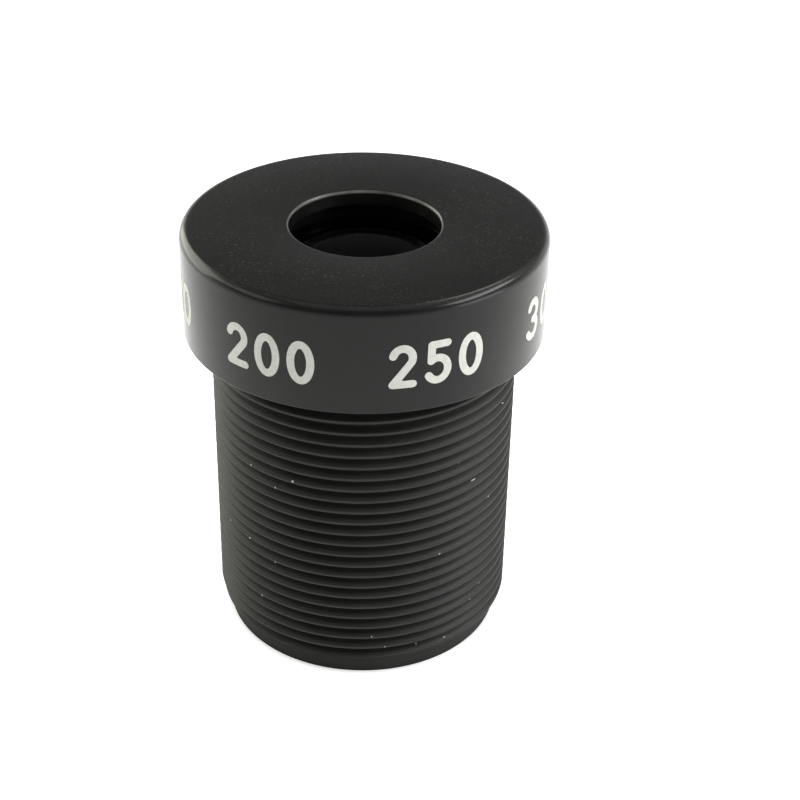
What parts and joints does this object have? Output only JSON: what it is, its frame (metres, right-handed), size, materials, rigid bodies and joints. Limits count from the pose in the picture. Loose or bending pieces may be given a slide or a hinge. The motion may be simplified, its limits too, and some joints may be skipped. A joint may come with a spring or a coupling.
{
  "type": "m12 board camera lens",
  "caption": "Small fixed lens for a board camera: a threaded black barrel under a wider round head, with a recessed front glass and a filter at the rear.",
  "frame": {"origin": "centre of the rear face, on the optical axis", "axes": "+Z along the optical axis, from the rear face towards the front opening; +X to the right and +Y away from the viewer of the picture"},
  "size_m": [0.014, 0.014, 0.0172],
  "materials": {
    "barrel": "satin black anodised, turned",
    "front_cap": "satin black anodised, with plain white numbers on the side",
    "inner_ring": "matte black anodised",
    "coated_glass": "polished, dark coated",
    "glass": "polished",
    "filter_glass": "polished, pale blue-green with a red sheen"
  },
  "bodies": {
    "root": {"barrel": "barrel", "front_cap": "front_cap", "front_element": "coated_glass", "front_spacer": "inner_ring", "second_element": "glass", "aperture_stop": "inner_ring", "middle_spacer": "inner_ring", "doublet_front_element": "glass", "doublet_rear_element": "glass", "rear_spacer": "inner_ring", "rear_element": "glass", "ir_filter": "filter_glass"}
  },
  "joints": []
}
